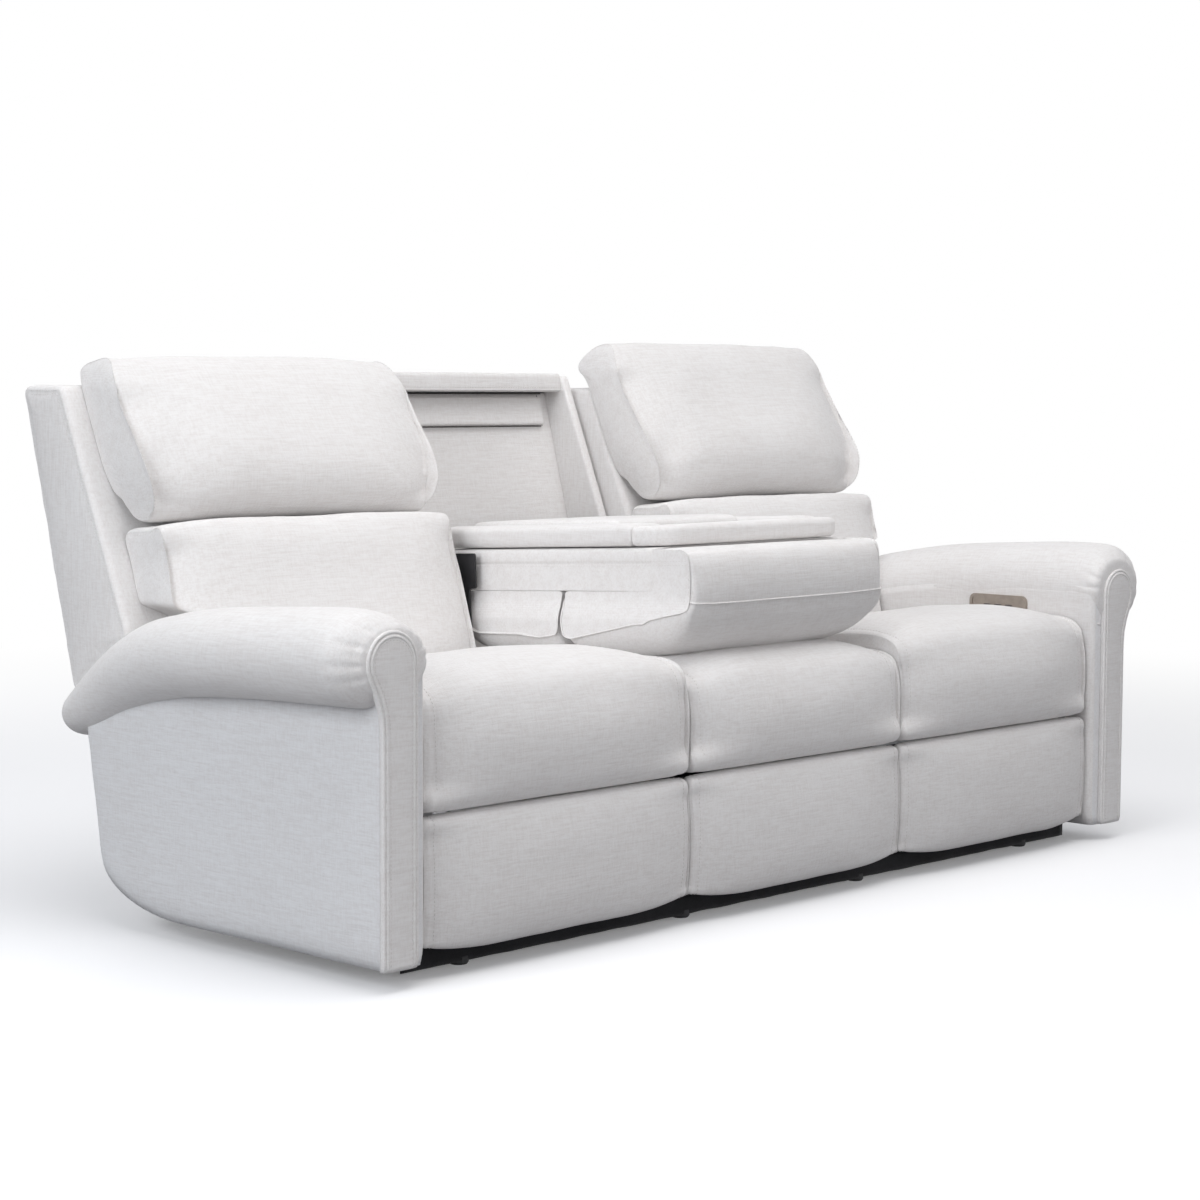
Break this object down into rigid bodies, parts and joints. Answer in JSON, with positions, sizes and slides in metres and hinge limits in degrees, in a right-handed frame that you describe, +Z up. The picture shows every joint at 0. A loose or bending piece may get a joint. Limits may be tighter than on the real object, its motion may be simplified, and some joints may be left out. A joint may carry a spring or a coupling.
{
  "type": "reclining sofa with drop down console",
  "caption": "Three seat rolled-arm sofa with reclining outer seats, folding footrests, tilting head pillows and a middle back that folds down as a console.",
  "frame": {"origin": "on the floor under the middle of the sofa's overall box", "axes": "+X to the right of someone looking at the front, -Y towards the front, +Z up"},
  "size_m": [2.2676, 1.018, 1.0502],
  "materials": {
    "cushion_fabric": "woven linen",
    "arm_fabric": "woven linen",
    "body_fabric": "woven linen",
    "plywood": "bare plywood",
    "black_steel": "matt black powder coat",
    "dark_hinge_steel": "satin black",
    "link_steel": "zinc plated",
    "bronze_plastic": "satin bronze",
    "button_plastic": "matt",
    "cup_steel": "brushed",
    "glide_plastic": "matt black"
  },
  "bodies": {
    "sofa_frame": {"base_frame": "black_steel", "base_cross_beam": "black_steel", "feet": "glide_plastic", "arm_body_left": "body_fabric", "arm_body_right": "body_fabric", "arm_roll_left": "arm_fabric", "arm_roll_right": "arm_fabric", "scroll_panel_left": "arm_fabric", "scroll_panel_right": "arm_fabric", "seat_decks": "plywood", "deck_supports": "plywood", "seat_cushion_left": "cushion_fabric", "seat_cushion_mid": "cushion_fabric", "seat_cushion_right": "cushion_fabric", "mid_front_board": "plywood", "mid_front_padding": "cushion_fabric", "mech_plates": "link_steel", "recess_posts": "body_fabric", "recess_back_panel": "body_fabric", "recess_top_rail": "body_fabric", "recess_strip": "cushion_fabric", "mid_rear_cover": "body_fabric", "console_brackets": "dark_hinge_steel", "switch_bezel_left": "bronze_plastic", "switch_bezel_right": "bronze_plastic"},
    "main_links_left": {"main_links_left": "link_steel"},
    "main_links_right": {"main_links_right": "link_steel"},
    "guide_links_left": {"guide_links_left": "link_steel"},
    "guide_links_right": {"guide_links_right": "link_steel"},
    "carry_links_left": {"carry_links_left": "link_steel"},
    "carry_links_right": {"carry_links_right": "link_steel"},
    "footrest_left": {"footrest_board_left": "plywood", "footrest_padding_left": "cushion_fabric", "footrest_brackets_left": "link_steel"},
    "footrest_right": {"footrest_board_right": "plywood", "footrest_padding_right": "cushion_fabric", "footrest_brackets_right": "link_steel"},
    "back_left": {"back_shell_left": "body_fabric", "back_brackets_left": "link_steel", "lumbar_pillow_left": "cushion_fabric"},
    "back_right": {"back_shell_right": "body_fabric", "back_brackets_right": "link_steel", "lumbar_pillow_right": "cushion_fabric"},
    "headrest_left": {"head_pillow_left": "cushion_fabric"},
    "headrest_right": {"head_pillow_right": "cushion_fabric"},
    "console": {"console_hinges": "dark_hinge_steel", "console_box": "body_fabric", "cup_holders": "cup_steel", "console_side_rail_left": "cushion_fabric", "console_side_rail_right": "cushion_fabric", "console_front_rail": "cushion_fabric", "console_slab": "cushion_fabric", "console_head_pillow": "cushion_fabric", "console_lumbar_pillow": "cushion_fabric"},
    "button_left_1_body": {"button_left_1": "button_plastic"},
    "button_left_2_body": {"button_left_2": "button_plastic"},
    "button_left_3_body": {"button_left_3": "button_plastic"},
    "button_right_1_body": {"button_right_1": "button_plastic"},
    "button_right_2_body": {"button_right_2": "button_plastic"},
    "button_right_3_body": {"button_right_3": "button_plastic"}
  },
  "joints": [
    {"name": "footrest_main_left", "type": "hinge", "parent": "sofa_frame", "child": "main_links_left", "pos_m": [-0.623, -0.251, 0.272], "axis": [-1, 0, 0], "range_deg": [0, 112]},
    {"name": "footrest_guide_left", "type": "hinge", "parent": "sofa_frame", "child": "guide_links_left", "pos_m": [-0.623, -0.311, 0.272], "axis": [-1, 0, 0], "range_deg": [0, 112]},
    {"name": "footrest_carry_left", "type": "hinge", "parent": "main_links_left", "child": "carry_links_left", "pos_m": [-0.623, -0.14931, 0.07241], "axis": [1, 0, 0], "range_deg": [0, 112]},
    {"name": "footrest_panel_left", "type": "hinge", "parent": "carry_links_left", "child": "footrest_left", "pos_m": [-0.623, -0.38431, 0.14242], "axis": [-1, 0, 0], "range_deg": [0, 90]},
    {"name": "recline_left", "type": "hinge", "parent": "sofa_frame", "child": "back_left", "pos_m": [-0.623, 0.141, 0.145], "axis": [-1, 0, 0], "range_deg": [0, 25]},
    {"name": "headrest_tilt_left", "type": "hinge", "parent": "back_left", "child": "headrest_left", "pos_m": [-0.664, 0.21978, 0.778], "axis": [1, 0, 0], "range_deg": [0, 30]},
    {"name": "button_press_left_1", "type": "slide", "parent": "sofa_frame", "child": "button_left_1_body", "axis": [-1, 0, 0], "range_m": [0, 0.002], "stiffness_N_per_m": 500},
    {"name": "button_press_left_2", "type": "slide", "parent": "sofa_frame", "child": "button_left_2_body", "axis": [-1, 0, 0], "range_m": [0, 0.002], "stiffness_N_per_m": 500},
    {"name": "button_press_left_3", "type": "slide", "parent": "sofa_frame", "child": "button_left_3_body", "axis": [-1, 0, 0], "range_m": [0, 0.002], "stiffness_N_per_m": 500},
    {"name": "footrest_main_right", "type": "hinge", "parent": "sofa_frame", "child": "main_links_right", "pos_m": [0.623, -0.251, 0.272], "axis": [-1, 0, 0], "range_deg": [0, 112]},
    {"name": "footrest_guide_right", "type": "hinge", "parent": "sofa_frame", "child": "guide_links_right", "pos_m": [0.623, -0.311, 0.272], "axis": [-1, 0, 0], "range_deg": [0, 112]},
    {"name": "footrest_carry_right", "type": "hinge", "parent": "main_links_right", "child": "carry_links_right", "pos_m": [0.623, -0.14931, 0.07241], "axis": [1, 0, 0], "range_deg": [0, 112]},
    {"name": "footrest_panel_right", "type": "hinge", "parent": "carry_links_right", "child": "footrest_right", "pos_m": [0.623, -0.38431, 0.14242], "axis": [-1, 0, 0], "range_deg": [0, 90]},
    {"name": "recline_right", "type": "hinge", "parent": "sofa_frame", "child": "back_right", "pos_m": [0.623, 0.141, 0.145], "axis": [-1, 0, 0], "range_deg": [0, 25]},
    {"name": "headrest_tilt_right", "type": "hinge", "parent": "back_right", "child": "headrest_right", "pos_m": [0.664, 0.21978, 0.778], "axis": [1, 0, 0], "range_deg": [0, 30]},
    {"name": "button_press_right_1", "type": "slide", "parent": "sofa_frame", "child": "button_right_1_body", "axis": [1, 0, 0], "range_m": [0, 0.002], "stiffness_N_per_m": 500},
    {"name": "button_press_right_2", "type": "slide", "parent": "sofa_frame", "child": "button_right_2_body", "axis": [1, 0, 0], "range_m": [0, 0.002], "stiffness_N_per_m": 500},
    {"name": "button_press_right_3", "type": "slide", "parent": "sofa_frame", "child": "button_right_3_body", "axis": [1, 0, 0], "range_m": [0, 0.002], "stiffness_N_per_m": 500},
    {"name": "console_fold", "type": "hinge", "parent": "sofa_frame", "child": "console", "pos_m": [0, 0.124, 0.497], "axis": [-1, 0, 0], "range_deg": [0, 103]}
  ],
  "couplings": [
    {"joint": "footrest_guide_left", "follows": "footrest_main_left", "ratio": 1},
    {"joint": "footrest_carry_left", "follows": "footrest_main_left", "ratio": 1},
    {"joint": "footrest_panel_left", "follows": "footrest_main_left", "ratio": 0.8035},
    {"joint": "footrest_guide_right", "follows": "footrest_main_right", "ratio": 1},
    {"joint": "footrest_carry_right", "follows": "footrest_main_right", "ratio": 1},
    {"joint": "footrest_panel_right", "follows": "footrest_main_right", "ratio": 0.8035}
  ]
}
